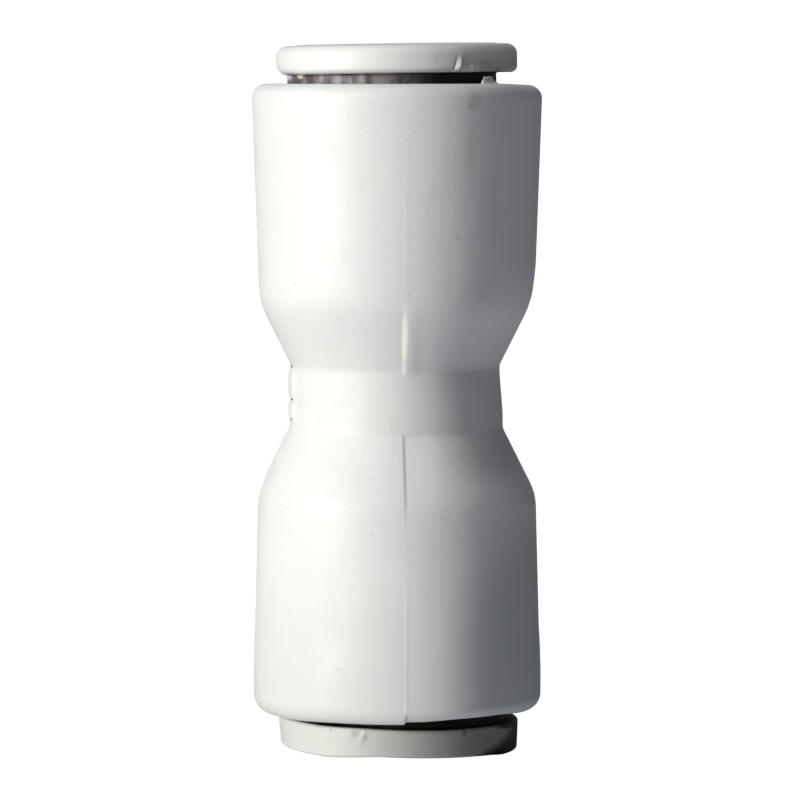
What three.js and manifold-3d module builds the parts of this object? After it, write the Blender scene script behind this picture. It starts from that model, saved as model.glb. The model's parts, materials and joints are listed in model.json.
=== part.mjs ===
// A straight push-fit coupling for 10 mm plastic pipe, as an assembly of its separate pieces.
// Millimetres. +Z runs along the bore, and the origin is the middle of the body.
import * as THREE from "three";
import { mergeVertices } from "three/addons/utils/BufferGeometryUtils.js";
import Module from "manifold-3d";

const wasm = await Module();
wasm.setup();

// ---- Driving dimensions ----

const PIPE_R = 5; // outside of the pipe that each end takes
const PLAY = 0.05; // radial gap between a piece and the seat that it is pressed into

// Outside of the body, which is the same at both ends but for the draft of the two mould halves.
const BODY_HALF = 23.2; // middle of the body to each end face
const END_ROUND = 1.0; // rounding of the end rims
const WAIST_R = 7.88;
const WAIST_HALF = 2.35; // half the length of the straight waist
const WAIST_ROUND = 0.4; // where the waist meets a cone
const CONE_SLOPE = 0.5; // growth of the radius along each cone
const SHOULDER_ROUND = 4.5; // where a cone meets its cylinder
const ENDS = [
  { name: "upper", side: 1, endR: 10.79, shoulderR: 10.22, gap: 0.74, tilt: -0.8, shift: 0 },
  { name: "lower", side: -1, endR: 10.76, shoulderR: 10.34, gap: 0.62, tilt: 2.1, shift: 0.12 },
]; // gap, tilt (degrees about Y) and sideways shift are how each loose collet sits at rest

// A plain raised pad on the left of the waist.
const PAD_R = 8.12;
const PAD_HALF_WIDTH = 2.6;
const PAD_HALF_HEIGHT = 1.9;

// Inside of the body, as distances from its middle.
const WATERWAY_R = 3.75;
const STOP_Z = 1.25; // ledge that the pipe's end meets
const PIPE_SEAT_R = 5.1;
const SEAL_Z = 8.5; // bottom of the O-ring seat
const SEAL_R = 6.9;
const CHAMBER_Z = 11; // ledge that the spacer washer lies on
const CHAMBER_R = 8.1;
const MOUTH_Z = 16.6; // ledge that the cam ring is pressed against
const MOUTH_R = 9;

const O_RING_SECTION_R = 0.98;
const O_RING_R = SEAL_R - O_RING_SECTION_R - PLAY; // to the middle of the section

const WASHER_THICK = 1;
const WASHER_R = 7.85;
const WASHER_BORE_R = 5.2;

const THROAT_R = 6.75; // hole of the cam ring that the collet's sleeve slides in
const CONE_R = 7.9; // wide end of the cam ring's cone
const CONE_END_Z = 18.95;
const THROAT_CHAMFER = 0.3;
const RECESS_R = 8.2; // recess in the cam ring's outer face, which the collet's neck enters
const RECESS_DEPTH = 1.75;

// Collet, measured from the underside of its flange.
const FLANGE_R = 8.92;
const FLANGE_THICK = 2.2;
const FLANGE_TOP_ROUND = 0.6;
const FLANGE_UNDER_ROUND = 0.4;
const ENTRY_CHAMFER = 0.7; // lead-in for the pipe
const NECK_R = 7.75; // shoulder just under the flange
const NECK_LENGTH = 1.6;
const NECK_ROUND = 0.3;
const SLEEVE_BORE_R = 5.15;
const SLEEVE_R = 6.4;
const HEAD_R = 7.4; // outside of the finger heads
const HEAD_START = 6.3; // where the sleeve starts to grow into the heads
const HEAD_FULL = 8.3;
const SLEEVE_LENGTH = 10.4;
const TIP_ROUND = 0.5;
const FINGERS = 6;
const SLOT_WIDTH = 1.2; // between two fingers
const SLOT_START = 2.2; // from the flange's underside

// Grab tooth: a leaning steel blade across each finger head.
const TOOTH_TIP_R = PIPE_R - 0.15; // bites into the pipe
const TOOTH_ROOT_R = 6.75;
const TOOTH_ROOT_Z = 7.9; // from the flange's underside
const TOOTH_LEAN = 0.9; // how much deeper the tip lies than the root
const TOOTH_THICK = 0.3;
const TOOTH_WIDTH = 2.6;
const TOOTH_GRIND = 0.5; // length of the ground edge
const TOOTH_GAP = 0.1; // between the blade and its slot

// Facets.
const FACETS = 48;
const SEAL_FACETS = 32;
const SECTION_FACETS = 10;
const ARC_STEP = Math.PI / 10;

const OVERCUT = 1; // how far a cutting shape runs past the face that it cuts

// ---- Materials ----

const paint = (color, roughness, metalness = 0) =>
  new THREE.MeshStandardMaterial({ color, roughness, metalness });
const WHITE_PLASTIC = paint(0xeceee9, 0.42);
const COLLET_PLASTIC = paint(0xe9ebe4, 0.45);
const INNER_PLASTIC = paint(0xdfe1dc, 0.5);
const RUBBER = paint(0x161616, 0.75);
const STEEL = paint(0xb8babd, 0.3, 1);

// ---- Shapes ----

// Closed outline in the plane of radius and height. Each corner is [radius, height, rounding].
function outline(corners) {
  const points = [];
  corners.forEach(([r, z, round = 0], i) => {
    const corner = new THREE.Vector2(r, z);
    if (!round) {
      points.push(corner);
      return;
    }
    const towards = (step) => {
      const [nr, nz] = corners[(i + step + corners.length) % corners.length];
      return new THREE.Vector2(nr, nz).sub(corner).normalize();
    };
    const back = towards(-1);
    const ahead = towards(1);
    const half = Math.acos(back.dot(ahead)) / 2;
    const inwards = back.clone().add(ahead).normalize();
    const centre = corner.clone().addScaledVector(inwards, round / Math.sin(half));
    const start = corner.clone().addScaledVector(back, round / Math.tan(half)).sub(centre);
    const turn = (Math.PI - 2 * half) * Math.sign(back.y * ahead.x - back.x * ahead.y);
    const steps = Math.max(2, Math.round(Math.abs(turn) / ARC_STEP));
    for (let k = 0; k <= steps; k++) {
      const arm = start.clone().rotateAround(new THREE.Vector2(), (turn * k) / steps);
      points.push(arm.add(centre));
    }
  });
  return points;
}

// Solid of revolution about Z from an outline that runs up its outside and down its bore.
function turned(corners, facets = FACETS) {
  const points = outline(corners);
  return new THREE.LatheGeometry([...points, points[0]], facets).rotateX(Math.PI / 2);
}

// A flat outline in the plane of X and Z, given thickness across Y, centred on the plane.
function plate(points, width) {
  const shape = new THREE.Shape(points.map(([x, z]) => new THREE.Vector2(x, z)));
  const extruded = new THREE.ExtrudeGeometry(shape, { depth: width, bevelEnabled: false });
  return extruded.translate(0, 0, -width / 2).rotateX(Math.PI / 2);
}

function toSolid(geometry) {
  const bare = geometry.clone().deleteAttribute("normal").deleteAttribute("uv");
  const merged = mergeVertices(bare, 1e-4);
  return new wasm.Manifold(
    new wasm.Mesh({
      numProp: 3,
      vertProperties: merged.attributes.position.array,
      triVerts: new Uint32Array(merged.index.array),
    }),
  );
}

function toGeometry(solid) {
  const { vertProperties, triVerts } = solid.getMesh();
  const geometry = new THREE.BufferGeometry();
  geometry.setAttribute("position", new THREE.BufferAttribute(vertProperties, 3));
  geometry.setIndex(new THREE.BufferAttribute(triVerts, 1));
  geometry.computeVertexNormals();
  return geometry;
}

function named(name, geometry, material) {
  const mesh = new THREE.Mesh(geometry, material);
  mesh.name = name;
  return mesh;
}

// ---- Pieces ----

// Outer corners of one half of the body, from the waist to the end rim.
function outsideOf({ side, endR, shoulderR }) {
  const coneLength = (shoulderR - WAIST_R) / CONE_SLOPE;
  return [
    [WAIST_R, side * WAIST_HALF, WAIST_ROUND],
    [shoulderR, side * (WAIST_HALF + coneLength), SHOULDER_ROUND],
    [endR, side * BODY_HALF, END_ROUND],
  ];
}

// Bore corners of one half of the body, from the end rim to the waterway.
function boreOf({ side }) {
  return [
    [MOUTH_R, side * BODY_HALF],
    [MOUTH_R, side * MOUTH_Z],
    [CHAMBER_R, side * MOUTH_Z],
    [CHAMBER_R, side * CHAMBER_Z],
    [SEAL_R, side * CHAMBER_Z],
    [SEAL_R, side * SEAL_Z],
    [PIPE_SEAT_R, side * SEAL_Z],
    [PIPE_SEAT_R, side * STOP_Z],
    [WATERWAY_R, side * STOP_Z],
  ];
}

function bodyGeometry() {
  const [upper, lower] = ENDS;
  const shell = turned([
    ...outsideOf(lower).reverse(),
    ...outsideOf(upper),
    ...boreOf(upper),
    ...boreOf(lower).reverse(),
  ]);
  const padDepth = 2 * (PAD_R - WAIST_R + OVERCUT);
  const padBlock = new THREE.BoxGeometry(padDepth, 2 * PAD_HALF_WIDTH, 2 * PAD_HALF_HEIGHT);
  padBlock.translate(-PAD_R, 0, 0);
  const padRing = turned([
    [PAD_R, -PAD_HALF_HEIGHT - OVERCUT],
    [PAD_R, PAD_HALF_HEIGHT + OVERCUT],
    [WAIST_R - OVERCUT, PAD_HALF_HEIGHT + OVERCUT],
    [WAIST_R - OVERCUT, -PAD_HALF_HEIGHT - OVERCUT],
  ]);
  const pad = toSolid(padBlock).intersect(toSolid(padRing));
  return toGeometry(toSolid(shell).add(pad));
}

function oRingGeometry() {
  const section = Array.from({ length: SECTION_FACETS }, (_, i) => {
    const angle = (2 * Math.PI * i) / SECTION_FACETS;
    return [
      O_RING_R + O_RING_SECTION_R * Math.cos(angle),
      O_RING_SECTION_R * Math.sin(angle),
    ];
  });
  return turned(section, SEAL_FACETS);
}

function washerGeometry() {
  return turned([
    [WASHER_R, 0],
    [WASHER_R, WASHER_THICK],
    [WASHER_BORE_R, WASHER_THICK],
    [WASHER_BORE_R, 0],
  ]);
}

// The cam ring in the upper mouth. Its wide end faces the middle of the body.
function camRingGeometry() {
  const outerR = MOUTH_R - PLAY;
  const outerZ = BODY_HALF - PLAY;
  const throatZ = outerZ - RECESS_DEPTH;
  return turned([
    [outerR, MOUTH_Z + PLAY],
    [outerR, outerZ],
    [RECESS_R, outerZ],
    [RECESS_R, throatZ],
    [THROAT_R + THROAT_CHAMFER, throatZ],
    [THROAT_R, throatZ - THROAT_CHAMFER],
    [THROAT_R, CONE_END_Z],
    [CONE_R, MOUTH_Z + PLAY],
  ]);
}

// Height of the leaning blade's middle line at a radius.
function bladeHeight(r) {
  const slope = TOOTH_LEAN / (TOOTH_ROOT_R - TOOTH_TIP_R);
  return -TOOTH_ROOT_Z - (TOOTH_ROOT_R - r) * slope;
}

function toothGeometry() {
  const half = TOOTH_THICK / 2;
  const heelR = TOOTH_TIP_R + TOOTH_GRIND;
  const section = [
    [TOOTH_ROOT_R, bladeHeight(TOOTH_ROOT_R) - half],
    [TOOTH_ROOT_R, bladeHeight(TOOTH_ROOT_R) + half],
    [heelR, bladeHeight(heelR) + half],
    [TOOTH_TIP_R, bladeHeight(TOOTH_TIP_R) - half],
  ];
  return plate(section, TOOTH_WIDTH);
}

// The cut in a finger that holds a tooth. It is open to the bore.
function toothSlotGeometry() {
  const half = TOOTH_THICK / 2 + TOOTH_GAP;
  const rootR = TOOTH_ROOT_R + TOOTH_GAP;
  const openR = TOOTH_TIP_R - TOOTH_GRIND;
  const section = [
    [rootR, bladeHeight(rootR) - half],
    [rootR, bladeHeight(rootR) + half],
    [openR, bladeHeight(openR) + half],
    [openR, bladeHeight(openR) - half],
  ];
  return plate(section, TOOTH_WIDTH + 2 * TOOTH_GAP);
}

const fingerAngle = (i) => ((i + 0.5) * 2 * Math.PI) / FINGERS;

function colletGeometry() {
  let collet = toSolid(
    turned([
      [HEAD_R, -SLEEVE_LENGTH, TIP_ROUND],
      [HEAD_R, -HEAD_FULL],
      [SLEEVE_R, -HEAD_START],
      [SLEEVE_R, -NECK_LENGTH],
      [NECK_R, -NECK_LENGTH, NECK_ROUND],
      [NECK_R, 0],
      [FLANGE_R, 0, FLANGE_UNDER_ROUND],
      [FLANGE_R, FLANGE_THICK, FLANGE_TOP_ROUND],
      [SLEEVE_BORE_R + ENTRY_CHAMFER, FLANGE_THICK],
      [SLEEVE_BORE_R, FLANGE_THICK - ENTRY_CHAMFER],
      [SLEEVE_BORE_R, -SLEEVE_LENGTH],
    ]),
  );
  const slotLength = SLEEVE_LENGTH - SLOT_START + OVERCUT;
  const fingerSlot = new THREE.BoxGeometry(SLEEVE_R, SLOT_WIDTH, slotLength);
  fingerSlot.translate(SLEEVE_R, 0, -SLOT_START - slotLength / 2);
  const toothSlot = toothSlotGeometry();
  for (let i = 0; i < FINGERS; i++) {
    const slotAngle = (i * 2 * Math.PI) / FINGERS;
    collet = collet.subtract(toSolid(fingerSlot.clone().rotateZ(slotAngle)));
    collet = collet.subtract(toSolid(toothSlot.clone().rotateZ(fingerAngle(i))));
  }
  return toGeometry(collet);
}

// ---- Assembly ----

const coupling = new THREE.Group();
coupling.add(named("coupling_body", bodyGeometry(), WHITE_PLASTIC));

const oRing = oRingGeometry();
const washer = washerGeometry();
const camRing = camRingGeometry();
const collet = colletGeometry();
const tooth = toothGeometry();

for (const { name, side, gap, tilt, shift } of ENDS) {
  // The lower end is the upper one turned over about the Y axis.
  const end = new THREE.Group();
  end.rotation.y = side > 0 ? 0 : Math.PI;
  coupling.add(end);

  const seal = named(`${name}_o_ring`, oRing, RUBBER);
  seal.position.z = (SEAL_Z + CHAMBER_Z) / 2;
  const spacer = named(`${name}_spacer_washer`, washer, INNER_PLASTIC);
  spacer.position.z = CHAMBER_Z + PLAY;
  end.add(seal, spacer, named(`${name}_cam_ring`, camRing, INNER_PLASTIC));

  const colletGroup = new THREE.Group();
  colletGroup.position.set(side * shift, 0, BODY_HALF + gap);
  colletGroup.rotation.y = THREE.MathUtils.degToRad(tilt);
  end.add(colletGroup);
  colletGroup.add(named(`${name}_collet`, collet, COLLET_PLASTIC));
  for (let i = 0; i < FINGERS; i++) {
    const blade = named(`${name}_grab_tooth_${i + 1}`, tooth, STEEL);
    blade.rotation.z = fingerAngle(i);
    colletGroup.add(blade);
  }
}

export default coupling;
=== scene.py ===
"""The looks of a straight push-fit coupling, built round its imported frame.

Outlines and details are in millimetres, with the bore along Z, and become metres when a mesh is made.
Angles go round Z from +X, and the viewer stands on the -Y side, at -90 degrees.
"""

import json
import math

import bmesh
import bpy
from mathutils import Matrix, Vector, noise


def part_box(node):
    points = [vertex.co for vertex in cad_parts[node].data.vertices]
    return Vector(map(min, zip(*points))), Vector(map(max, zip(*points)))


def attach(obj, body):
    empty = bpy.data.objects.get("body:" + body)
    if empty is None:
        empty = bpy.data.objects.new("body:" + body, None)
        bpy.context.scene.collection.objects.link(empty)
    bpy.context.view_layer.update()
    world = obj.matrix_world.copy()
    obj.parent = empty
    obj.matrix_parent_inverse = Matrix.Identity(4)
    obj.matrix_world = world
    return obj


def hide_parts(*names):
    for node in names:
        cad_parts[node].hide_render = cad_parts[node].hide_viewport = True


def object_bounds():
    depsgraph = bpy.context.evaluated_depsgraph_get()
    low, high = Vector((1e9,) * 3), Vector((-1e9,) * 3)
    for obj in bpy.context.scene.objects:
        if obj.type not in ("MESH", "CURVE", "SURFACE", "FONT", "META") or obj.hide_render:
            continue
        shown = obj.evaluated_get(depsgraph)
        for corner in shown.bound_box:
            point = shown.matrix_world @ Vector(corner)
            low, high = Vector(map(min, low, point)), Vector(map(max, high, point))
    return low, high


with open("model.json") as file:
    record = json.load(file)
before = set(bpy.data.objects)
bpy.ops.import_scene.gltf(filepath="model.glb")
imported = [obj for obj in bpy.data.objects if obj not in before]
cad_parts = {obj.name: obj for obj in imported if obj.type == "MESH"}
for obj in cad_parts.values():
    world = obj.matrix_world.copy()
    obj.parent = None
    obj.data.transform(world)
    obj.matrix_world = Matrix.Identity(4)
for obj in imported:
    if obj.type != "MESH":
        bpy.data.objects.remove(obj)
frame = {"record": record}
cad_box = [list(corner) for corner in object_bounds()]
mounts = {mount["name"]: mount for mount in frame["record"]["mounts"]}

MM = 0.001

# ---- Sizes that repeat those of the CAD pieces ----

BODY_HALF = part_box("coupling_body")[1].z / MM
WAIST_R = 7.88
WAIST_HALF = 2.35
CONE_SLOPE = 0.5
BODY_LIMIT_R = 10.748  # nothing on the body's outside stands past this, so it stays in the CAD's box
UPPER = {"name": "upper", "side": 1, "end_r": 10.77, "shoulder_r": 10.22, "shoulder_round": 5.0}
LOWER = {"name": "lower", "side": -1, "end_r": 10.74, "shoulder_r": 10.34, "shoulder_round": 4.0}
ENDS = (UPPER, LOWER)

WATERWAY_R, STOP_Z = 3.75, 1.25
PIPE_SEAT_R, SEAL_Z = 5.1, 8.5
SEAL_R, CHAMBER_Z = 6.9, 11.0
CHAMBER_R, MOUTH_Z = 8.1, 16.6
MOUTH_R = 9.0

THROAT_R, CONE_R, CONE_END_Z = 6.75, 7.9, 18.95
RECESS_R, RECESS_DEPTH = 8.35, 1.75
RING_PLAY = 0.05

O_RING_SECTION_R, O_RING_R = 0.98, 5.87
WASHER_R, WASHER_BORE_R, WASHER_THICK = 7.85, 5.2, 1.0

FLANGE_R, FLANGE_THICK, LEAD_IN = 8.92, 2.2, 0.7
NECK_R, NECK_LENGTH = 7.75, 1.6
UPPER_NECK_SHIFT = 0.4  # the upper neck stands off centre, to the left
SLEEVE_BORE_R, SLEEVE_R, HEAD_R = 5.15, 6.4, 7.4
HEAD_START, HEAD_FULL, SLEEVE_LENGTH = 6.3, 8.3, 10.4
FINGERS, SLOT_WIDTH, SLOT_START = 6, 1.2, 2.2
TOOTH_TIP_R, TOOTH_ROOT_R, TOOTH_ROOT_Z, TOOTH_LEAN = 4.85, 6.75, 7.9, 0.9
TOOTH_THICK, TOOTH_WIDTH, TOOTH_GAP = 0.3, 2.6, 0.1

# Steps once round each kind of piece.
BODY_STEPS, COLLET_STEPS, INNER_STEPS = 240, 216, 144

FRONT = math.radians(-90)
SEAM = FRONT + math.radians(3.5)  # the mould's parting line, just right of the front
SEAMS = (SEAM, SEAM + math.pi)

# ---- Outlines and meshes ----


def outline(corners, widest, arc_step=math.radians(7)):
    """An open outline through corners (radius, height, rounding), with steps no longer than widest."""
    points = []
    last = len(corners) - 1
    for i, (r, z, *rounding) in enumerate(corners):
        corner = Vector((r, z))
        if not rounding or i in (0, last):
            points.append(corner)
            continue
        back = (Vector(corners[i - 1][:2]) - corner).normalized()
        ahead = (Vector(corners[i + 1][:2]) - corner).normalized()
        half = back.angle(ahead) / 2
        centre = corner + (back + ahead).normalized() * rounding[0] / math.sin(half)
        start = corner + back * rounding[0] / math.tan(half) - centre
        turn = (math.pi - 2 * half) * math.copysign(1, back.y * ahead.x - back.x * ahead.y)
        steps = max(3, round(abs(turn) / arc_step))
        for k in range(steps + 1):
            angle = turn * k / steps
            cos, sin = math.cos(angle), math.sin(angle)
            arm = Vector((start.x * cos - start.y * sin, start.x * sin + start.y * cos))
            points.append(centre + arm)
    fine = [points[0]]
    for point in points[1:]:
        pieces = max(1, math.ceil((point - fine[-1]).length / widest))
        start = fine[-1]
        fine.extend(start.lerp(point, k / pieces) for k in range(1, pieces + 1))
    return fine


def round_angles(count, dense_at=(), dense_half=math.radians(3), dense_step=math.radians(0.16)):
    """Angles once round, count of them, and closer together near each angle in dense_at."""
    angles = []
    for i in range(count):
        angle = 2 * math.pi * i / count
        if all(abs(turn_between(angle, at)) > dense_half for at in dense_at):
            angles.append(angle)
    for at in dense_at:
        steps = round(2 * dense_half / dense_step)
        for k in range(steps + 1):
            angles.append((at - dense_half + 2 * dense_half * k / steps) % (2 * math.pi))
    return sorted(angles)


def turn_between(angle, other):
    """How far angle is past other, from -pi to pi."""
    return (angle - other + math.pi) % (2 * math.pi) - math.pi


def smooth(value, start, end):
    """0 before start, 1 after end, and a soft step between them. It falls where end is below start."""
    t = min(1, max(0, (value - start) / (end - start)))
    return t * t * (3 - 2 * t)


def bump(value, middle, half, soft):
    """1 within half of the middle, falling to 0 over the soft edge beyond."""
    return smooth(abs(value - middle), half + soft, half)


def revolve(points, angles, warp=None):
    """A bmesh in mm of the closed outline points turned about Z. warp(r, z, angle) gives a vertex's place."""
    mesh = bmesh.new()
    rings = []
    for angle in angles:
        cos, sin = math.cos(angle), math.sin(angle)
        ring = []
        for r, z in points:
            place = warp(r, z, angle) if warp else (r * cos, r * sin, z)
            ring.append(mesh.verts.new(place))
        rings.append(ring)
    for ring, following in zip(rings, rings[1:] + rings[:1]):
        for k in range(len(points)):
            after = (k + 1) % len(points)
            mesh.faces.new((ring[k], following[k], following[after], ring[after]))
    bmesh.ops.recalc_face_normals(mesh, faces=mesh.faces)
    return mesh


def finished(name, mesh, place=Matrix(), sharp=35):
    """A scene object in metres from a bmesh in mm, put in place and shaded smooth but for its sharp edges."""
    mesh.transform(place)
    bmesh.ops.scale(mesh, vec=(MM, MM, MM), verts=mesh.verts)
    data = bpy.data.meshes.new(name)
    mesh.to_mesh(data)
    mesh.free()
    data.shade_smooth()
    data.set_sharp_from_angle(angle=math.radians(sharp))
    piece = bpy.data.objects.new(name, data)
    bpy.context.scene.collection.objects.link(piece)
    return piece


def bored(mesh, cutters):
    """The bmesh less the cutter bmeshes, which don't touch each other."""
    whole = finished("cut_whole", mesh)
    tool_mesh = bmesh.new()
    for cutter in cutters:
        data = bpy.data.meshes.new("cutter")
        cutter.to_mesh(data)
        cutter.free()
        tool_mesh.from_mesh(data)
        bpy.data.meshes.remove(data)
    tool = finished("cut_tool", tool_mesh)
    cut = whole.modifiers.new("cut", "BOOLEAN")
    cut.operation = "DIFFERENCE"
    cut.solver = "EXACT"
    cut.object = tool
    evaluated = whole.evaluated_get(bpy.context.evaluated_depsgraph_get())
    result = bmesh.new()
    result.from_mesh(evaluated.to_mesh())
    bmesh.ops.scale(result, vec=(1 / MM, 1 / MM, 1 / MM), verts=result.verts)
    bmesh.ops.dissolve_degenerate(result, dist=1e-4, edges=result.edges)
    for made in (whole, tool):
        data = made.data
        bpy.data.objects.remove(made)
        bpy.data.meshes.remove(data)
    return result


def prism(section, across, matrix):
    """A bmesh of the outline section, in the XZ plane, reaching half of across to each side in Y."""
    mesh = bmesh.new()
    sides = [[mesh.verts.new((x, y, z)) for x, z in section] for y in (-across / 2, across / 2)]
    mesh.faces.new(sides[0])
    mesh.faces.new(reversed(sides[1]))
    count = len(section)
    for k in range(count):
        after = (k + 1) % count
        mesh.faces.new((sides[0][k], sides[1][k], sides[1][after], sides[0][after]))
    bmesh.ops.recalc_face_normals(mesh, faces=mesh.faces)
    mesh.transform(matrix)
    return mesh


# ---- Materials ----


def as_colour(value):
    """A socket as it is, or red, green and blue with an alpha of 1 added."""
    return value if isinstance(value, bpy.types.NodeSocket) else (*value, 1)


class Surface:
    """A Principled material under construction. Positions in it are object coordinates in mm."""

    def __init__(self, name, roughness, **settings):
        self.material = bpy.data.materials.new(name)
        self.material.use_nodes = True
        self.tree = self.material.node_tree
        self.shader = self.tree.nodes["Principled BSDF"]
        self.shader.inputs["Roughness"].default_value = roughness
        for socket, value in settings.items():
            self.shader.inputs[socket.replace("_", " ")].default_value = value
        coordinates = self.tree.nodes.new("ShaderNodeTexCoord")
        scale = self.node("ShaderNodeVectorMath", operation="SCALE")
        self.tree.links.new(coordinates.outputs["Object"], scale.inputs[0])
        scale.inputs["Scale"].default_value = 1 / MM
        self.mm = scale.outputs["Vector"]

    def node(self, kind, **settings):
        made = self.tree.nodes.new(kind)
        for key, value in settings.items():
            setattr(made, key, value)
        return made

    def feed(self, socket, value):
        if isinstance(value, bpy.types.NodeSocket):
            self.tree.links.new(value, socket)
        else:
            socket.default_value = value

    def maths(self, operation, *values):
        made = self.node("ShaderNodeMath", operation=operation)
        for socket, value in zip(made.inputs, values):
            self.feed(socket, value)
        return made.outputs[0]

    def ramp(self, value, low, high, to_low=0.0, to_high=1.0):
        """value mapped from low..high to to_low..to_high, with a soft start and end."""
        made = self.node("ShaderNodeMapRange", interpolation_type="SMOOTHSTEP")
        for socket, number in zip(made.inputs, (value, low, high, to_low, to_high)):
            self.feed(socket, number)
        return made.outputs["Result"]

    def noise(self, per_mm, detail=3.0, stretch=(1, 1, 1), offset=0.0, roughness=0.5):
        """Noise with per_mm features in each mm, which are longer where stretch is below 1."""
        place = self.node("ShaderNodeMapping")
        self.feed(place.inputs["Vector"], self.mm)
        place.inputs["Scale"].default_value = stretch
        place.inputs["Location"].default_value = (offset, offset, offset)
        made = self.node("ShaderNodeTexNoise")
        self.feed(made.inputs["Vector"], place.outputs["Vector"])
        made.inputs["Scale"].default_value = per_mm
        made.inputs["Detail"].default_value = detail
        made.inputs["Roughness"].default_value = roughness
        return made.outputs["Fac"]

    def spot(self, centre, half_size, soft=0.5, ragged=0.0):
        """1 inside an upright ellipsoid about centre, falling to 0 at half_size, with a ragged edge."""
        offset = self.node("ShaderNodeVectorMath", operation="SUBTRACT")
        self.feed(offset.inputs[0], self.mm)
        offset.inputs[1].default_value = centre
        scaled = self.node("ShaderNodeVectorMath", operation="DIVIDE")
        self.feed(scaled.inputs[0], offset.outputs[0])
        scaled.inputs[1].default_value = half_size
        length = self.node("ShaderNodeVectorMath", operation="LENGTH")
        self.feed(length.inputs[0], scaled.outputs[0])
        reach = length.outputs["Value"]
        if ragged:
            wobble = self.ramp(self.noise(2.5, 4, offset=centre[2]), 0.3, 0.7, -ragged, ragged)
            reach = self.maths("ADD", reach, wobble)
        return self.ramp(reach, 1.0, 1.0 - soft)

    def mix(self, share, first, second):
        made = self.node("ShaderNodeMix", data_type="RGBA")
        self.feed(made.inputs["Factor"], share)
        for socket, value in ((made.inputs[6], first), (made.inputs[7], second)):
            self.feed(socket, as_colour(value))
        return made.outputs[2]

    def position(self):
        """How far right of the bore's axis, how far from it and how high, in mm."""
        parts = self.node("ShaderNodeSeparateXYZ")
        self.feed(parts.inputs[0], self.mm)
        x2 = self.maths("MULTIPLY", parts.outputs["X"], parts.outputs["X"])
        y2 = self.maths("MULTIPLY", parts.outputs["Y"], parts.outputs["Y"])
        return parts.outputs["X"], self.maths("SQRT", self.maths("ADD", x2, y2)), parts.outputs["Z"]

    def paint(self, tone, marks):
        """The tone with the marks over it, in their order."""
        for centre, half_size, colour, strength, soft, ragged in marks:
            share = self.maths("MULTIPLY", self.spot(centre, half_size, soft, ragged), strength)
            tone = self.mix(share, tone, colour)
        return tone

    def colour(self, value):
        self.feed(self.shader.inputs["Base Color"], as_colour(value))

    def relief(self, layers):
        """Bump from layers of (height from 0 to 1, depth in mm)."""
        normal = None
        for height, depth in layers:
            made = self.node("ShaderNodeBump")
            made.inputs["Distance"].default_value = depth * MM
            made.inputs["Strength"].default_value = 1.0
            self.feed(made.inputs["Height"], height)
            if normal:
                self.feed(made.inputs["Normal"], normal)
            normal = made.outputs["Normal"]
        self.feed(self.shader.inputs["Normal"], normal)


def around(angle_from_front, radius, z):
    """A point at a radius and height, an angle in degrees to the right of the front."""
    angle = FRONT + math.radians(angle_from_front)
    return (radius * math.cos(angle), radius * math.sin(angle), z)


# Marks on the white plastic: where, half size in mm, colour, strength, how soft and ragged its edge is.
BODY_MARKS = [
    (around(31.5, 10.7, 22.0), (1.0, 1.0, 1.0), (0.50, 0.47, 0.33), 0.5, 1.0, 0.15),  # old stain at the rim
    (around(44.8, 9.4, 23.7), (1.0, 1.0, 0.45), (0.50, 0.50, 0.48), 0.85, 0.3, 0.2),  # the crumb of flash, greyed as painted shade under the flange
    (around(42.5, 9.4, 23.5), (0.25, 0.25, 0.12), (0.2, 0.2, 0.2), 0.7, 0.6, 0.3),  # painted shade at its sides
    (around(46.5, 9.4, 23.6), (0.25, 0.25, 0.12), (0.24, 0.24, 0.22), 0.7, 0.6, 0.3),
    (around(30, 10.7, 21.5), (0.5, 0.5, 0.45), (0.42, 0.37, 0.26), 0.4, 1.0, 0.2),  # the stain's brown middle
    (around(30, 10.6, 18.5), (0.6, 0.6, 2.4), (0.56, 0.56, 0.48), 0.4, 1.0, 0.15),  # and its run
    (around(33, 10.6, -19.9), (0.8, 0.8, 0.6), (0.42, 0.45, 0.54), 0.5, 1.0, 0.15),  # bluish rub
    (around(42, 10.6, -18.3), (0.45, 0.45, 0.5), (0.40, 0.43, 0.58), 0.4, 1.0, 0.15),
    (around(3.4, 9.3, 4.8), (0.3, 1.6, 2.6), (0.92, 0.91, 0.77), 0.8, 0.35, 0.0),  # ivory of the flash, painted brighter than the plastic as a highlight
    ((0, 0, -25.0), (17, 17, 16.0), (0.70, 0.705, 0.69), 0.7, 1.0, 0.0),  # painted shade, darker towards the lower end
    ((-7.5, -7.5, -21.0), (12, 12, 13), (0.71, 0.715, 0.69), 0.9, 1.0, 0.0),  # painted shade on its left
    (around(72, 10.7, -19), (10.6, 10.6, 14), (0.54, 0.565, 0.56), 0.95, 0.5, 0.0),  # painted shade, darker on its right
    (around(58, 8.6, -4.4), (6.0, 6.0, 2.8), (0.56, 0.56, 0.55), 0.6, 1.0, 0.0),  # and painted shade on the lower cone
    (around(4.1, 10.1, 23.2), (0.2, 0.7, 0.14), (0.36, 0.34, 0.35), 0.5, 0.9, 0.1),  # painted shade in the notch at the seam's end
    # Small specks, here and there.
    (around(-17, 10.2, 14.5), (0.25, 0.25, 0.25), (0.45, 0.43, 0.40), 0.5, 0.8, 0.3),
    (around(25, 10.4, 12.2), (0.4, 0.4, 0.35), (0.45, 0.42, 0.38), 0.35, 1.0, 0.3),
    (around(-24, 10.5, -19.2), (0.5, 0.5, 0.2), (0.5, 0.5, 0.47), 0.5, 0.9, 0.3),
    (around(-33, 10.5, -21.8), (0.22, 0.22, 0.2), (0.42, 0.42, 0.38), 0.5, 0.8, 0.3),
    (around(18, 10.5, -8.2), (0.2, 0.2, 0.2), (0.3, 0.3, 0.3), 0.6, 0.8, 0.3),
    (around(-45, 10.3, -10.2), (0.2, 0.2, 0.2), (0.45, 0.45, 0.42), 0.5, 0.8, 0.3),
]
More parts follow.
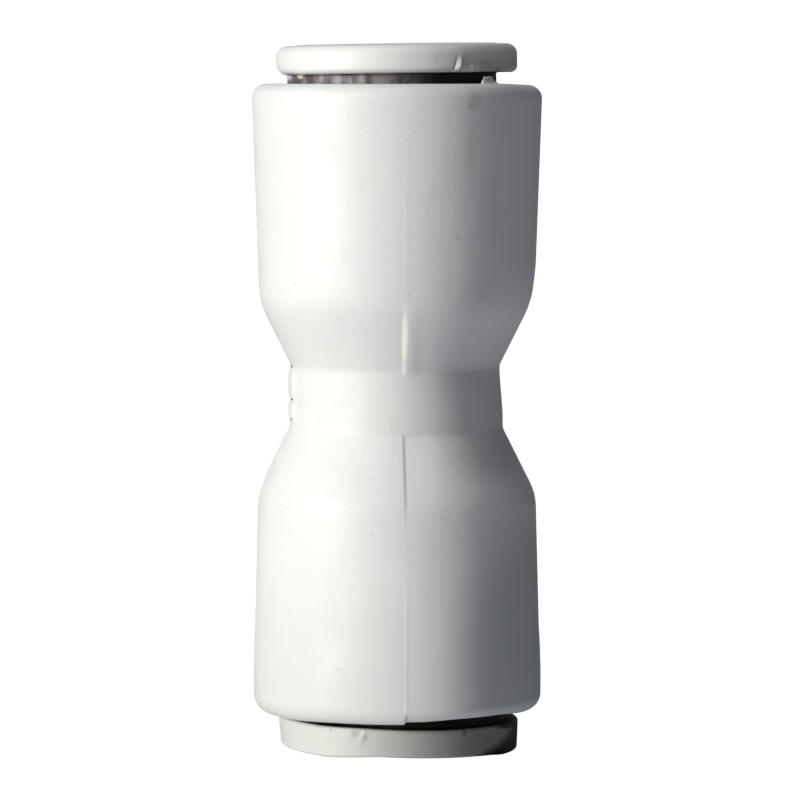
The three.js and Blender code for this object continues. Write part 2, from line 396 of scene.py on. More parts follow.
# Painted shade in small dark pockets beside the pad's bars.
BODY_MARKS += [
    ((-7.9, 0, z), (0.45, 2.3, 0.15), (0.04, 0.04, 0.04), 1.0, 0.4, 0.0) for z in (2.3, -0.14, -1.62)
]
UPPER_COLLET_MARKS = [
    (around(33.5, 8.9, 24.9), (0.8, 0.8, 0.7), (0.36, 0.32, 0.27), 0.4, 1.0, 0.3),  # brown dirt by the nicks
    (around(46, 8.9, 24.7), (1.3, 1.3, 0.55), (0.42, 0.40, 0.42), 0.35, 1.0, 0.35),
    (around(57, 8.9, 24.2), (1.5, 1.5, 0.35), (0.28, 0.27, 0.27), 0.5, 1.0, 0.3),
    (around(74, 8.9, 24.6), (1.6, 1.6, 0.8), (0.40, 0.40, 0.36), 0.3, 1.0, 0.3),
    (around(-54, 8.9, 24.15), (0.4, 0.4, 0.35), (0.78, 0.76, 0.62), 0.7, 0.8, 0.1),  # cream flash
]
LOWER_COLLET_MARKS = [
    # Painted shade: darker over the collet, turning black at the right side and along the upper edge there.
    (around(45, 9.0, -25.0), (13.5, 13.5, 8), (0.27, 0.275, 0.255), 0.92, 1.0, 0.0),
    (around(86, 9.5, -25.0), (10, 10, 5.0), (0.13, 0.135, 0.13), 0.88, 1.0, 0.0),
    ((9.6, -0.8, -25.0), (2.2, 5.6, 3.0), (0.01, 0.01, 0.01), 1.0, 0.6, 0.0),
    (around(75, 8.9, -24.1), (2.2, 4.5, 0.42), (0.01, 0.01, 0.01), 1.0, 0.5, 0.1),
    # Specks and smudges along the upper edge.
    (around(8, 8.9, -23.95), (0.8, 0.5, 0.25), (0.45, 0.44, 0.33), 0.5, 1.0, 0.4),
    (around(34.1, 8.9, -24.17), (0.4, 0.4, 0.34), (0.10, 0.10, 0.09), 0.8, 0.8, 0.35),  # the darkest one
    (around(24, 8.9, -24.1), (0.5, 0.5, 0.2), (0.30, 0.30, 0.27), 0.6, 0.8, 0.3),
    (around(-20, 8.9, -24.15), (0.6, 0.6, 0.5), (0.40, 0.38, 0.42), 0.7, 1.0, 0.25),  # a lilac one
    (around(-14.8, 8.95, -24.4), (0.24, 0.3, 0.42), (0.36, 0.40, 0.33), 0.6, 0.8, 0.2),  # by the large nick
    (around(-41, 8.9, -23.8), (0.2, 0.2, 0.16), (0.2, 0.14, 0.2), 0.7, 0.8, 0.3),
    (around(-33, 8.9, -23.95), (0.16, 0.16, 0.14), (0.25, 0.2, 0.25), 0.6, 0.8, 0.3),
    (around(-38, 8.9, -23.9), (0.5, 0.5, 0.2), (0.46, 0.45, 0.36), 0.35, 0.9, 0.3),
]
# Painted shade on the black bottom corner, in overlapping marks: degrees right of the front and half height.
LOWER_COLLET_MARKS += [
    (around(turn, 9.3, -26.35), (1.3, 1.3, half), (0.006, 0.006, 0.006), 1.0, 0.6, 0.0)
    for turn, half in (
        (36, 0.4), (43, 0.65), (49, 1.0), (55, 1.35), (61, 1.8), (67, 2.2), (74, 2.3), (81, 2.2), (88, 2.0)
    )
]


def under_painted_shade(surface, tone, shade_zone, lit_on_left):
    """The tone under black painted shade in a gap. On the left, as far as the last argument says from 0 to 1,
    it gives way to a mottled tone painted as the light that reaches in there.
    """
    reach, low, high = shade_zone
    sideways, radius, height = surface.position()
    height = surface.maths("ABSOLUTE", height)
    outside_bore = surface.ramp(radius, 5.9, 6.3)  # the bore gets none of it
    inside = surface.maths("MULTIPLY", surface.ramp(radius, reach, reach - 0.3), outside_bore)
    under_top = surface.ramp(height, high, high - 0.15)
    level = surface.maths("MULTIPLY", surface.ramp(height, low - 1.5, low), under_top)
    # Where light reaches into the gap on the left, a mottled tone painted as lit; elsewhere the black of
    # painted shade.
    patches = surface.ramp(surface.noise(0.75, 4, stretch=(1, 1, 0.4), offset=3), 0.4, 0.62)
    film = surface.mix(patches, (0.12, 0.095, 0.10), (0.44, 0.39, 0.42))
    lit_share = surface.maths("MULTIPLY", surface.ramp(sideways, 4.0, -3.5), lit_on_left)  # paler to the left, painted light where the key light reaches in
    shade_tone = surface.mix(lit_share, (0.006, 0.004, 0.004), film)
    return surface.mix(surface.maths("MULTIPLY", inside, level), tone, shade_tone)


def white_plastic(name, base, marks=(), shade_zone=None, lit_on_left=0.0, over_shade=()):
    """Satin moulded plastic, with faint mottling, rubbed haze, specks, hairline scuffs, marks (some of them
    painted light and shade), and painted shade in its gaps.
    """
    surface = Surface(name, 0.4, Subsurface_Weight=0.12, Subsurface_Scale=1.2 * MM)
    surface.shader.inputs["Subsurface Radius"].default_value = (1.0, 0.92, 0.8)
    surface.shader.inputs["IOR"].default_value = 1.49
    darker = tuple(c * 0.93 for c in base)
    dark = tuple(c * 0.5 for c in base)
    cooler = (base[0] * 0.965, base[1] * 0.975, base[2] * 0.99)
    mottle = surface.ramp(surface.noise(0.16, 4), 0.35, 0.68)
    tone = surface.mix(mottle, base, cooler)
    smear = surface.ramp(surface.noise(0.55, 5, stretch=(1, 1, 0.4), offset=7), 0.54, 0.74)
    tone = surface.mix(surface.maths("MULTIPLY", smear, 0.55), tone, darker)
    dust = surface.ramp(surface.noise(3.6, 4, offset=41, roughness=0.65), 0.3, 0.7)
    tone = surface.mix(surface.maths("MULTIPLY", dust, 0.6), tone, darker)
    speck = surface.ramp(surface.noise(1.9, 2, offset=31), 0.735, 0.79)
    tone = surface.mix(surface.maths("MULTIPLY", speck, 0.35), tone, dark)
    tone = surface.paint(tone, marks)
    if shade_zone:
        tone = under_painted_shade(surface, tone, shade_zone, lit_on_left)
    surface.colour(surface.paint(tone, over_shade))
    rub = surface.noise(0.7, 5, stretch=(1, 1, 0.6), offset=13)
    surface.feed(surface.shader.inputs["Roughness"], surface.ramp(rub, 0.3, 0.7, 0.42, 0.56))
    scuff = surface.ramp(surface.noise(1.1, 8, stretch=(1, 1, 0.12), offset=19, roughness=0.72), 0.6, 0.72)
    grain = surface.noise(7, 3)
    swell = surface.noise(0.3, 2, offset=5)
    surface.relief([(swell, 0.05), (grain, 0.004), (scuff, 0.006)])
    return surface.material


def rubber(name):
    """Black seal rubber with a thin dusty film."""
    surface = Surface(name, 0.55)
    surface.shader.inputs["IOR"].default_value = 1.52
    film = surface.ramp(surface.noise(1.2, 5), 0.35, 0.7)
    surface.colour(surface.mix(film, (0.012, 0.012, 0.013), (0.032, 0.031, 0.03)))
    surface.feed(surface.shader.inputs["Roughness"], surface.ramp(film, 0, 1, 0.28, 0.62))
    surface.relief([(surface.noise(9, 3), 0.006)])
    return surface.material


def steel(name):
    """Bright spring steel with the lines of its rolling."""
    surface = Surface(name, 0.28, Metallic=1.0)
    rolled = surface.noise(3, 6, stretch=(1, 1, 0.08))
    surface.colour(surface.mix(rolled, (0.50, 0.50, 0.49), (0.68, 0.68, 0.67)))
    surface.feed(surface.shader.inputs["Roughness"], surface.ramp(rolled, 0.3, 0.7, 0.2, 0.42))
    surface.relief([(surface.noise(12, 4, stretch=(1, 1, 0.1)), 0.003)])
    return surface.material


# Painted shade in the gaps lies inside a radius and between two heights, in mm.
NECK_SHADE_ZONE = (8.75, 21.0, 24.3)
RING_SHADE_ZONE = (9.2, 22.5, 24.0)
# Two marks over the painted shade of the upper neck: a pale patch on the left, which is painted light where
# the shade gives way, and a cream burr.
OVER_NECK_SHADE = [
    (around(-88, 8.0, 23.85), (1.3, 3.2, 0.65), (0.75, 0.75, 0.76), 1.0, 0.6, 0.1),
    (around(-61, 8.15, 23.88), (0.5, 0.5, 0.46), (0.74, 0.73, 0.60), 0.95, 0.35, 0.15),
]
BODY_PLASTIC = white_plastic("body_plastic", (0.81, 0.815, 0.795), BODY_MARKS)
# Both collets get painted shade in the gaps at their necks. On the upper one it gives way to painted light
# further to the left.
COLLET_PLASTIC = {
    "upper": white_plastic(
        "upper_collet_plastic", (0.82, 0.825, 0.80), UPPER_COLLET_MARKS,
        shade_zone=NECK_SHADE_ZONE, lit_on_left=1.0, over_shade=OVER_NECK_SHADE,
    ),
    "lower": white_plastic(
        "lower_collet_plastic", (0.71, 0.72, 0.68), LOWER_COLLET_MARKS, shade_zone=NECK_SHADE_ZONE, lit_on_left=0.1
    ),
}
# The cam ring gets painted shade in the mouth, under the collet's flange.
RING_PLASTIC = white_plastic("ring_plastic", (0.6, 0.6, 0.58), shade_zone=RING_SHADE_ZONE, lit_on_left=0.1)
WASHER_PLASTIC = white_plastic("washer_plastic", (0.70, 0.71, 0.69))
SEAL_RUBBER = rubber("seal_rubber")
TOOTH_STEEL = steel("tooth_steel")


# ---- Pieces ----


def add(piece, body, node, material):
    """Gives the piece its material and says what it rides on and stands for."""
    piece.data.materials.clear()
    piece.data.materials.append(material)
    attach(piece, body)
    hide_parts(node)
    return piece


def outside_of(end):
    """Corners of one half of the body's outside, from the waist to the mouth."""
    cone_end = WAIST_HALF + (end["shoulder_r"] - WAIST_R) / CONE_SLOPE
    return [
        (WAIST_R, end["side"] * WAIST_HALF, 1.1),
        (end["shoulder_r"], end["side"] * cone_end, end["shoulder_round"]),
        (end["end_r"], end["side"] * BODY_HALF, 1.05),
        (MOUTH_R, end["side"] * BODY_HALF, 0.15),
    ]


def bore_of(end):
    """Corners of one half of the body's bore, from the mouth to the waterway."""
    steps = [
        (MOUTH_R, MOUTH_Z), (CHAMBER_R, MOUTH_Z), (CHAMBER_R, CHAMBER_Z), (SEAL_R, CHAMBER_Z),
        (SEAL_R, SEAL_Z), (PIPE_SEAT_R, SEAL_Z), (PIPE_SEAT_R, STOP_Z), (WATERWAY_R, STOP_Z),
    ]
    return [(r, end["side"] * z, 0.12) for r, z in steps]


# The torn crumb of flash on the upper rim, in mm: its middle and half width to the right of the axis,
# the radius of its middle, its half depth along the radius, and its height.
CRUMB_X, CRUMB_WIDE, CRUMB_R, CRUMB_DEEP, CRUMB_HIGH = 6.62, 0.46, 9.44, 0.27, 0.5


def crumb_height(r, right):
    """How far the crumb stands over the rim at a radius, right radians to the right of the front."""
    across = (r * math.sin(right) - CRUMB_X) / CRUMB_WIDE
    inwards = (r - CRUMB_R) / CRUMB_DEEP
    torn = noise.noise(Vector((across * 3, r * 4, 3))) + noise.noise(Vector((across * 7, r * 11, 8)))
    block = math.exp(-abs(across) ** 8 - abs(inwards) ** 6)
    tail = 0.35 * math.exp(-((across - 1.1) / 0.5) ** 2 - inwards ** 4)
    return CRUMB_HIGH * max(block * (0.95 + 0.22 * torn), tail)


def seam_relief(across, z):
    """How far the body's outside stands out beside a parting line, across mm to the right of it."""
    # A leaning flash stands on the upper cone, and comes to a point at its upper end.
    flash = smooth(z, 2.0, 2.35) * smooth(z, 8.2, 4.5)
    relief = 0.1 * flash * smooth(across, -0.24, 0.22) * smooth(across, 1.5, 0.22)
    # On the cylinders it is worn down to a hair line, which stands out more near the lower end.
    line = 0.004 + 0.008 * smooth(z, -13.0, -16.0)
    cylinders = smooth(abs(z), 7.5, 9.5) * smooth(abs(z), 23.2, 22.6)
    relief += line * bump(across, 0.03, 0.07, 0.12) * cylinders
    # The lower cone has a small step down to the right.
    lower_cone = smooth(z, -2.2, -2.5) * smooth(z, -9.2, -5.8)
    return relief - 0.085 * lower_cone * smooth(across, -0.16, 0.15) * smooth(across, 2.8, 0.4)


def pad_relief(across, z):
    """The plain raised pad on the left of the waist, in two bars, across mm from its middle."""
    bars = bump(z, 0.28, 1.72, 0.14) * (1 - bump(z, -0.14, 0.08, 0.14))
    return 0.2 * bump(across, 0, 2.3, 0.22) * bars


def body_radius(r, z, angle):
    """The radius of a point of the body's outside, which would be r if the moulding were even."""
    # The lower end flares a little above its rim.
    outer = r + 0.05 * bump(z, -19.6, 0.6, 2.2)
    # The upper cone is a little hollow on the right, and the lower one a little full on the left.
    outer -= 0.25 * bump(z, 4.3, 1.9, 4.2) * smooth(math.cos(angle), 0.1, 0.95)
    outer += 0.17 * bump(z, -4.0, 1.3, 1.6) * smooth(-math.cos(angle), 0.1, 0.95)
    # The moulding is not quite round or straight.
    around_point = Vector((math.cos(angle), math.sin(angle), z / 14))
    outer += 0.025 * noise.noise(around_point * 1.7)
    for seam in SEAMS:
        outer += seam_relief(turn_between(angle, seam) * r, z)
    outer += pad_relief(turn_between(angle, math.pi) * r, z)
    return min(outer, BODY_LIMIT_R)


def rim_height(r, z, angle):
    """The height of a point of the body's outside, which would be z if the rims were even."""
    # The two halves of the mould meet with a small step at the lower rim, which is mostly gone at the
    # right side. The rim hangs lower on the left, and less low a little right of the step.
    past_seam = turn_between(angle, SEAM)
    step = smooth(past_seam * r, -0.12, 0.12) * smooth(abs(past_seam), math.pi, math.pi - 0.01)
    step *= 1 - 0.85 * smooth(past_seam, 0.7, 1.3) * smooth(past_seam, 2.4, 1.8)
    low_left = smooth(past_seam, -0.45, -0.95) * smooth(past_seam, -2.6, -2.0)
    high_right = bump(past_seam, 0.62, 0.2, 0.3)
    lift = 0.19 * step - 0.08 - 0.12 * low_left + 0.09 * high_right
    height = z + lift * smooth(z, -22.2, -23.1)
    # The upper rim dips a little on the right, and has the crumb.
    right = turn_between(angle, FRONT)
    dip = smooth(right, 0.85, 1.45) * smooth(right, 2.6, 1.8)
    height -= 0.09 * dip * smooth(z, BODY_HALF - 1.6, BODY_HALF)
    if z > BODY_HALF - 0.1 and abs(right - 0.8) < 0.4:
        height += crumb_height(r, right)
    return height


def warp_body(r, z, angle):
    """Places a point of the body. The bore stays even."""
    if r < WAIST_R - 0.3 or (r <= MOUTH_R and abs(z) > 5):
        return r * math.cos(angle), r * math.sin(angle), z
    outer = body_radius(r, z, angle)
    return outer * math.cos(angle), outer * math.sin(angle), rim_height(r, z, angle)


def with_fine_rim(points):
    """The outline with closer points along the flat of the upper rim."""
    fine = [points[0]]
    for point in points[1:]:
        pieces = 5 if min(point.y, fine[-1].y) > BODY_HALF - 1e-4 else 1
        start = fine[-1]
        fine.extend(start.lerp(point, k / pieces) for k in range(1, pieces + 1))
    return fine


def make_body():
    """The moulding, with closer angles at the parting lines and under the crumb."""
    corners = [(MOUTH_R, -MOUTH_Z)] + outside_of(LOWER)[::-1] + outside_of(UPPER) + [(MOUTH_R, MOUTH_Z)]
    outside = with_fine_rim(outline(corners, widest=0.4))
    bore = outline(bore_of(UPPER) + bore_of(LOWER)[::-1], widest=2.0)
    under_crumb = [FRONT % (2 * math.pi) + math.radians(38 + 0.4 * k) for k in range(45)]
    angles = sorted(round_angles(BODY_STEPS, SEAMS) + under_crumb)
    mesh = revolve(outside[1:] + bore[1:], angles, warp_body)
    body = finished("coupling_body_moulding", mesh)
    return add(body, "fitting_body", "coupling_body", BODY_PLASTIC)


def end_place(end):
    """The frame of one end: its own Z points out of the body."""
    return Matrix() if end["side"] > 0 else Matrix.Rotation(math.pi, 4, "Y")


def collet_place(end):
    """The frame of a collet, with its origin at the flange's underside, from the mount on its face."""
    mount = mounts[f"{end['name']}_collet_face"]
    out = Vector(mount["axis"]).normalized()
    turned_over = end_place(end).to_3x3()
    local_out = turned_over.inverted() @ out
    tilt = math.atan2(local_out.x, local_out.z)
    turn = end_place(end) @ Matrix.Rotation(tilt, 4, "Y")
    on_face = Vector(mount["pos_m"]) / MM
    origin = on_face - turn.to_3x3() @ Vector((0, on_face.y, FLANGE_THICK))
    return Matrix.Translation(origin) @ turn


def make_o_ring(end):
    """A moulded ring with the fine flash line that its two-part mould leaves."""
    count = 28
    section = []
    for k in range(count):
        angle = 2 * math.pi * k / count
        swell = O_RING_SECTION_R + 0.03 * bump(math.sin(angle), 0, 0.03, 0.12)
        section.append(Vector((O_RING_R + swell * math.cos(angle), swell * math.sin(angle))))
    mesh = revolve(section, round_angles(INNER_STEPS))
    place = end_place(end) @ Matrix.Translation((0, 0, (SEAL_Z + CHAMBER_Z) / 2))
    ring = finished(f"{end['name']}_o_ring_seal", mesh, place)
    return add(ring, "fitting_body", f"{end['name']}_o_ring", SEAL_RUBBER)


def make_washer(end):
    """The washer between the O-ring and the collet's fingers."""
    low, high = CHAMBER_Z + RING_PLAY, CHAMBER_Z + RING_PLAY + WASHER_THICK
    middle = (low + high) / 2
    corners = [
        (WASHER_R, middle), (WASHER_R, high, 0.12), (WASHER_BORE_R, high, 0.2),
        (WASHER_BORE_R, low, 0.2), (WASHER_R, low, 0.12), (WASHER_R, middle),
    ]
    mesh = revolve(outline(corners, widest=0.6)[1:], round_angles(INNER_STEPS))
    washer = finished(f"{end['name']}_spacer_disc", mesh, end_place(end))
    node = f"{end['name']}_spacer_washer"
    return add(washer, f"{end['name']}_spacer", node, WASHER_PLASTIC)


def make_cam_ring(end):
    """The ring in the mouth, whose cone closes the fingers, with a recess round the neck."""
    outer = MOUTH_R - RING_PLAY
    low, high = MOUTH_Z + RING_PLAY, BODY_HALF - RING_PLAY
    ledge = high - RECESS_DEPTH
    start = (outer, 20.0)
    corners = [
        start, (outer, high, 0.12), (RECESS_R, high, 0.1), (RECESS_R, ledge, 0.15),
        (THROAT_R, ledge, 0.3), (THROAT_R, CONE_END_Z, 0.4),
        (CONE_R, low, 0.1), (outer, low, 0.15), start,
    ]
    mesh = revolve(outline(corners, widest=0.6)[1:], round_angles(INNER_STEPS))
    ring = finished(f"{end['name']}_cam_bush", mesh, end_place(end))
    return add(ring, "fitting_body", f"{end['name']}_cam_ring", RING_PLASTIC)


def blade_height(r):
    """Height of a grab tooth's middle line at a radius, from the flange's underside."""
    return -TOOTH_ROOT_Z - (TOOTH_ROOT_R - r) * TOOTH_LEAN / (TOOTH_ROOT_R - TOOTH_TIP_R)


def finger_slot(index):
    """The cutter between two fingers, with a round root."""
    half = SLOT_WIDTH / 2
    arc = [math.pi * k / 10 for k in range(11)]
    section = [(half * math.cos(a), -SLOT_START - half + half * math.sin(a)) for a in arc]
    section += [(-half, -SLEEVE_LENGTH - 1), (half, -SLEEVE_LENGTH - 1)]
    turn = Matrix.Rotation(index * 2 * math.pi / FINGERS, 4, "Z")
    sideways = Matrix.Translation((SLEEVE_R, 0, 0)) @ Matrix.Rotation(math.pi / 2, 4, "Z")
    return prism(section, SLEEVE_R, turn @ sideways)


def tooth_pocket(index):
    """The cutter that lets a grab tooth into its finger, open to the bore."""
    half = TOOTH_THICK / 2 + TOOTH_GAP
    root, open_r = TOOTH_ROOT_R + TOOTH_GAP, TOOTH_TIP_R - 0.5
    section = [
        (root, blade_height(root) - half), (root, blade_height(root) + half),
        (open_r, blade_height(open_r) + half), (open_r, blade_height(open_r) - half),
    ]
    turn = Matrix.Rotation((index + 0.5) * 2 * math.pi / FINGERS, 4, "Z")
    return prism(section, TOOTH_WIDTH + 2 * TOOTH_GAP, turn)


# Nicks in the collets' flanges: degrees right of the front, height over the underside, width of the
# gentle side (on the left, where negative) and half height in mm, how far the surface moves in (or out,
# where negative), and how it leans. The steep side is narrower, by a share that is the same for all.
STEEP_SIDE = 0.3
NICKS = {
    "upper": [
        (30.9, 0.56, -0.36, 0.44, -0.18, 0.4), (28.0, 0.56, 0.16, 0.5, 0.05, 0.4),
        (37.6, 0.36, -0.32, 0.34, -0.12, 0.15), (40.0, 0.25, -0.2, 0.2, -0.05, 0.1),
        (-54, 0.05, 0.5, 0.4, -0.1, 0.0), (-54, 0.05, -0.5, 0.4, -0.05, 0.0),
    ],
    "lower": [
        (-17.4, 0.55, 0.36, 0.42, -0.12, -0.6), (32.0, 0.3, 0.16, 0.14, 0.1, 0.0),
        (24.0, 0.1, 0.3, 0.1, 0.06, 0.0), (-36.0, 0.02, 0.2, 0.12, 0.08, 0.0),
        (-42.0, 0.02, 0.15, 0.1, 0.06, 0.0), (-28.0, 0.02, 0.12, 0.1, 0.07, 0.0),
    ],
}


def upper_flange(r, z, turn):
    """How much wider the upper flange is at a point, and the point's new height.

    The flange is rounder at its lower left edge, and a little thin.
    """
    rounder = smooth(z, 0.9, 0.0) * smooth(abs(turn + 100), 55, 20) * smooth(r, 8.2, 8.8)
    return -0.22 * rounder, z - 0.032 * max(z, 0)


def lower_flange(r, z, turn):
    """How much wider the lower flange is at a point, and the point's new height.

    The flange tapers and sags on the left. All of this fades towards the back.
    """
    fade = smooth(abs(turn), 176, 120)
    left = fade * smooth(turn, 10, -95)
    wider = -0.2 * left * smooth(z, 0.6, 2.2) * smooth(r, 8.2, 8.7)
    under = 0.14 * smooth(turn, -12, -45) - 0.08 * smooth(turn, 20, 50)
    z += fade * under * smooth(z, 0.9, 0.0) * smooth(r, 7.8, 8.3)
    full_right = smooth(turn, 40, 60) * smooth(turn, 176, 130)
    sag = 0.28 * smooth(turn, -12, -40) * smooth(turn, -160, -80)
    sag -= 0.02 + 0.05 * (1 - full_right) + 0.1 * bump(turn, 22, 28, 14)
    return wider, z + sag * smooth(z, 1.2, 1.9)


def nicked(end, turn, z):
    """How far the nicks take a flange's edge in, turn degrees right of the front and at a height."""
    inwards = 0
    for at, height, half_width, half_height, depth, lean in NICKS[end["name"]]:
        across = math.radians(turn - at) * FLANGE_R - lean * (z - height)
        across /= half_width * (1 if across * half_width > 0 else STEEP_SIDE)
        inwards += depth * max(0, 1 - abs(across)) * math.exp(-(((z - height) / half_height) ** 4))
    return inwards


def collet_warp(end):
    """Moves the points of a flange for its nicks and the moulding's unevenness, and the upper neck aside."""
    side = end["side"]
    shaped = upper_flange if side > 0 else lower_flange

    def warp(r, z, angle):
        outer = r
        if side > 0 and -NECK_LENGTH - 0.1 < z < 0.01 and r > SLEEVE_R + 0.5:
            moved = smooth(r, FLANGE_R - 0.2, NECK_R) * smooth(r, 6.9, 7.4)
            outer -= UPPER_NECK_SHIFT * math.cos(angle) * moved
        if z > -0.3 and r > SLEEVE_R + 1:
            seen = angle if side > 0 else math.pi - angle
            turn = math.degrees(turn_between(seen, FRONT))
            outer += 0.03 * noise.noise(Vector((2.4 * math.cos(angle), 2.4 * math.sin(angle), side * 5)))
            wider, z = shaped(r, z, turn)
            outer += wider - nicked(end, turn, z) * smooth(r, 8.0, 8.5)
        return outer * math.cos(angle), outer * math.sin(angle), z

    return warp


def make_collet(end):
    """The moulding of a collet, with slots between its fingers and a pocket for each tooth."""
    under_round, top_round = (0.5, 0.8) if end["side"] > 0 else (0.2, 0.22)
    start = (8.2, 0.0)
    corners = [
        start, (FLANGE_R, 0.0, under_round), (FLANGE_R, FLANGE_THICK, top_round),
        (SLEEVE_BORE_R + LEAD_IN, FLANGE_THICK, 0.3), (SLEEVE_BORE_R, FLANGE_THICK - LEAD_IN, 0.4),
        (SLEEVE_BORE_R, -SLEEVE_LENGTH, 0.25), (HEAD_R, -SLEEVE_LENGTH, 0.5),
        (HEAD_R, -HEAD_FULL, 0.25), (SLEEVE_R, -HEAD_START, 0.5),
        (SLEEVE_R, -NECK_LENGTH, 0.25), (NECK_R, -NECK_LENGTH, 0.3), (NECK_R, 0.0, 0.15), start,
    ]
    # Closer angles at the main nicks. The lower collet's own frame is turned over, left to right.
    dense = [FRONT + math.radians(end["side"] * at) for at in (34, -17, 28)]
    angles = round_angles(COLLET_STEPS, dense, math.radians(6), math.radians(0.4))
    ring = revolve(outline(corners, widest=0.3)[1:], angles, collet_warp(end))
    cutters = [cutter(i) for i in range(FINGERS) for cutter in (finger_slot, tooth_pocket)]
    mesh = bored(ring, cutters)
    collet = finished(f"{end['name']}_collet_moulding", mesh, collet_place(end))
    name = end["name"]
    return add(collet, f"{name}_collet_body", f"{name}_collet", COLLET_PLASTIC[name])


def make_tooth(end, index):
    """A stamped blade with a ground edge, its ends rounded at the root."""
    rows = 13
    columns = 9
    tip = TOOTH_TIP_R + 0.02
    mesh = bmesh.new()
    grid = {}
    for upper in (0, 1):
        for i in range(rows):
            across = (i / (rows - 1) - 0.5) * TOOTH_WIDTH
            root = TOOTH_ROOT_R - 0.25 * smooth(abs(across), 0.75, TOOTH_WIDTH / 2)
            for k in range(columns):
                r = tip + (root - tip) * k / (columns - 1)
                ground = smooth(r, TOOTH_TIP_R, TOOTH_TIP_R + 0.55)
                half = TOOTH_THICK / 2 - 0.01
                height = blade_height(r) + (half * (2 * ground - 1) if upper else -half)
                if upper:
                    height = max(height, blade_height(r) - half + 0.03)
                grid[upper, i, k] = mesh.verts.new((r, across, height))
    for i in range(rows - 1):
        for k in range(columns - 1):
            mesh.faces.new([grid[1, i + a, k + b] for a, b in ((0, 0), (0, 1), (1, 1), (1, 0))])
            mesh.faces.new([grid[0, i + a, k + b] for a, b in ((0, 0), (1, 0), (1, 1), (0, 1))])
    for i in range(rows - 1):
        for k in (0, columns - 1):
            mesh.faces.new([grid[0, i, k], grid[1, i, k], grid[1, i + 1, k], grid[0, i + 1, k]])
    for k in range(columns - 1):
        for i in (0, rows - 1):
            mesh.faces.new([grid[0, i, k], grid[0, i, k + 1], grid[1, i, k + 1], grid[1, i, k]])
    bmesh.ops.recalc_face_normals(mesh, faces=mesh.faces)
    turn = Matrix.Rotation((index + 0.5) * 2 * math.pi / FINGERS, 4, "Z")
    name = f"{end['name']}_grab_tooth_{index + 1}"
    tooth = finished(f"{name}_blade", mesh, collet_place(end) @ turn, 30)
    return add(tooth, f"{end['name']}_collet_body", name, TOOTH_STEEL)


make_body()
for end in ENDS:
    make_o_ring(end)
    make_washer(end)
    make_cam_ring(end)
    make_collet(end)
    for index in range(FINGERS):
        make_tooth(end, index)


# ---- Camera, light and stage ----

# The camera's place is in mm, and the lights' places and sizes are in metres.
CAMERA_AWAY = 342.0  # from the coupling's axis
CAMERA_HEIGHT = 23.8  # level with the upper collet's underside
CAMERA_ASIDE = 0.22
LOOK_DOWN = 4.03  # degrees
LENS = 207.3
STUDIO_WHITE = 1.05  # strength of the floor and the background that the camera sees
FILL = (0.955, 0.975, 1.14)
FILL_STRENGTH = 0.088


def make_camera():
    data = bpy.data.cameras.new("camera")
    data.lens = LENS
    data.sensor_width = 36
    data.clip_start = 0.01
    data.clip_end = 20
    camera = bpy.data.objects.new("camera", data)
    camera.location = Vector((CAMERA_ASIDE, -CAMERA_AWAY, CAMERA_HEIGHT)) * MM
    camera.rotation_euler = (math.radians(90 - LOOK_DOWN), 0, 0)
    bpy.context.scene.collection.objects.link(camera)
    bpy.context.scene.camera = camera


def make_light(name, azimuth, elevation, away, size, power, colour):
    """An area light, azimuth degrees right of the front, which faces the coupling."""
    data = bpy.data.lights.new(name, "AREA")
    data.shape = "RECTANGLE"
    data.size, data.size_y = size
    data.energy = power
    data.color = colour
    light = bpy.data.objects.new(name, data)
    turn = FRONT + math.radians(azimuth)
    level = math.cos(math.radians(elevation))
    aim = Vector((math.cos(turn) * level, math.sin(turn) * level, math.sin(math.radians(elevation))))
    light.location = aim * away
    light.rotation_euler = (-aim).to_track_quat("-Z", "Y").to_euler()
    light.visible_glossy = name == "key"
    light.visible_camera = False
    bpy.context.scene.collection.objects.link(light)


def stage_plane(name, height, half_size, material, camera, others):
    """A level plane of the stage, seen by the camera or by the other rays."""
    mesh = bmesh.new()
    bmesh.ops.create_grid(mesh, x_segments=1, y_segments=1, size=half_size / MM)
    plane = finished(name, mesh, Matrix.Translation((0, 0, height)))
    plane.data.materials.append(material)
    plane.visible_camera = camera
    plane.visible_diffuse = plane.visible_glossy = plane.visible_transmission = others
    plane.visible_shadow = False


def flat_emission(name, strength):
    """A flat glow on the upper side of a face, which can be seen through from below."""
    material = bpy.data.materials.new(name)
    material.use_nodes = True
    tree = material.node_tree
    tree.nodes.clear()
    glow = tree.nodes.new("ShaderNodeEmission")
    glow.inputs["Color"].default_value = (1, 1, 1, 1)
    glow.inputs["Strength"].default_value = strength
    clear = tree.nodes.new("ShaderNodeBsdfTransparent")
    side = tree.nodes.new("ShaderNodeNewGeometry")
    choose = tree.nodes.new("ShaderNodeMixShader")
    tree.links.new(side.outputs["Backfacing"], choose.inputs[0])
    tree.links.new(glow.outputs[0], choose.inputs[1])
    tree.links.new(clear.outputs[0], choose.inputs[2])
    out = tree.nodes.new("ShaderNodeOutputMaterial")
    tree.links.new(choose.outputs[0], out.inputs["Surface"])
    return material


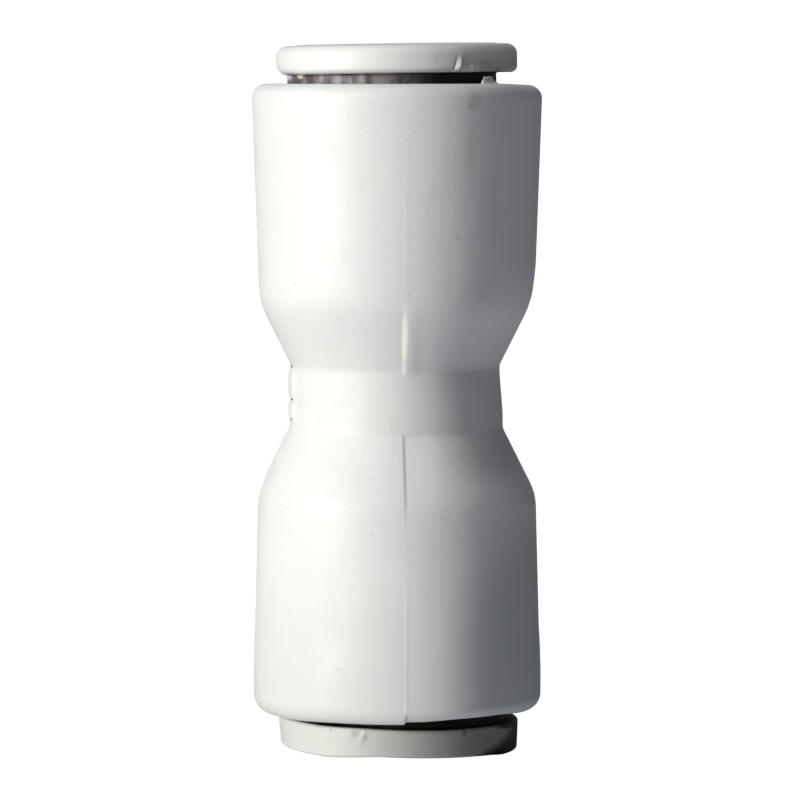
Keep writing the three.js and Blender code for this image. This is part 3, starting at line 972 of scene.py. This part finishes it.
def make_stage():
    """A white floor for the camera, and a grey one under it that the coupling's light bounces from."""
    floor_z = cad_box[0][2] / MM
    white = flat_emission("studio_white", STUDIO_WHITE)
    stage_plane("floor", floor_z - 0.05, 4.0, white, camera=True, others=False)
    bounce = Surface("floor_bounce", 0.9)
    bounce.colour((0.2, 0.2, 0.2))
    stage_plane("floor_for_bounce", floor_z - 0.1, 0.5, bounce.material, camera=False, others=True)


def make_world():
    """White to the camera, and a dim, slightly cool fill to everything else."""
    world = bpy.data.worlds.new("world")
    bpy.context.scene.world = world
    world.use_nodes = True
    tree = world.node_tree
    tree.nodes.clear()
    out = tree.nodes.new("ShaderNodeOutputWorld")
    seen = tree.nodes.new("ShaderNodeBackground")
    seen.inputs["Color"].default_value = (1, 1, 1, 1)
    seen.inputs["Strength"].default_value = STUDIO_WHITE
    fill = tree.nodes.new("ShaderNodeBackground")
    fill.inputs["Color"].default_value = as_colour(FILL)
    fill.inputs["Strength"].default_value = FILL_STRENGTH
    path = tree.nodes.new("ShaderNodeLightPath")
    choose = tree.nodes.new("ShaderNodeMixShader")
    tree.links.new(path.outputs["Is Camera Ray"], choose.inputs[0])
    tree.links.new(fill.outputs[0], choose.inputs[1])
    tree.links.new(seen.outputs[0], choose.inputs[2])
    tree.links.new(choose.outputs[0], out.inputs["Surface"])


# Each light's name, azimuth, elevation, distance, size, power and colour. Only the key shows as gloss.
LIGHTS = [
    ("key", -54.8, 10.5, 0.5, (0.14, 0.26), 2.35, (1.0, 1.0, 0.955)),
    ("sky", -40, 60, 0.5, (0.3, 0.3), 0.76, (1.0, 1.0, 1.03)),
    ("paper", 45, -66, 0.4, (0.3, 0.3), 0.45, (0.955, 0.975, 1.12)),
    ("left_paper", -75, -50, 0.4, (0.3, 0.3), 0.28, (1.0, 1.0, 0.965)),
    ("back", 180, 12, 0.9, (0.3, 0.5), 8.0, (1.0, 1.0, 1.0)),
]

make_camera()
for light in LIGHTS:
    make_light(*light)
make_stage()
make_world()
bpy.context.scene.view_settings.view_transform = "Standard"
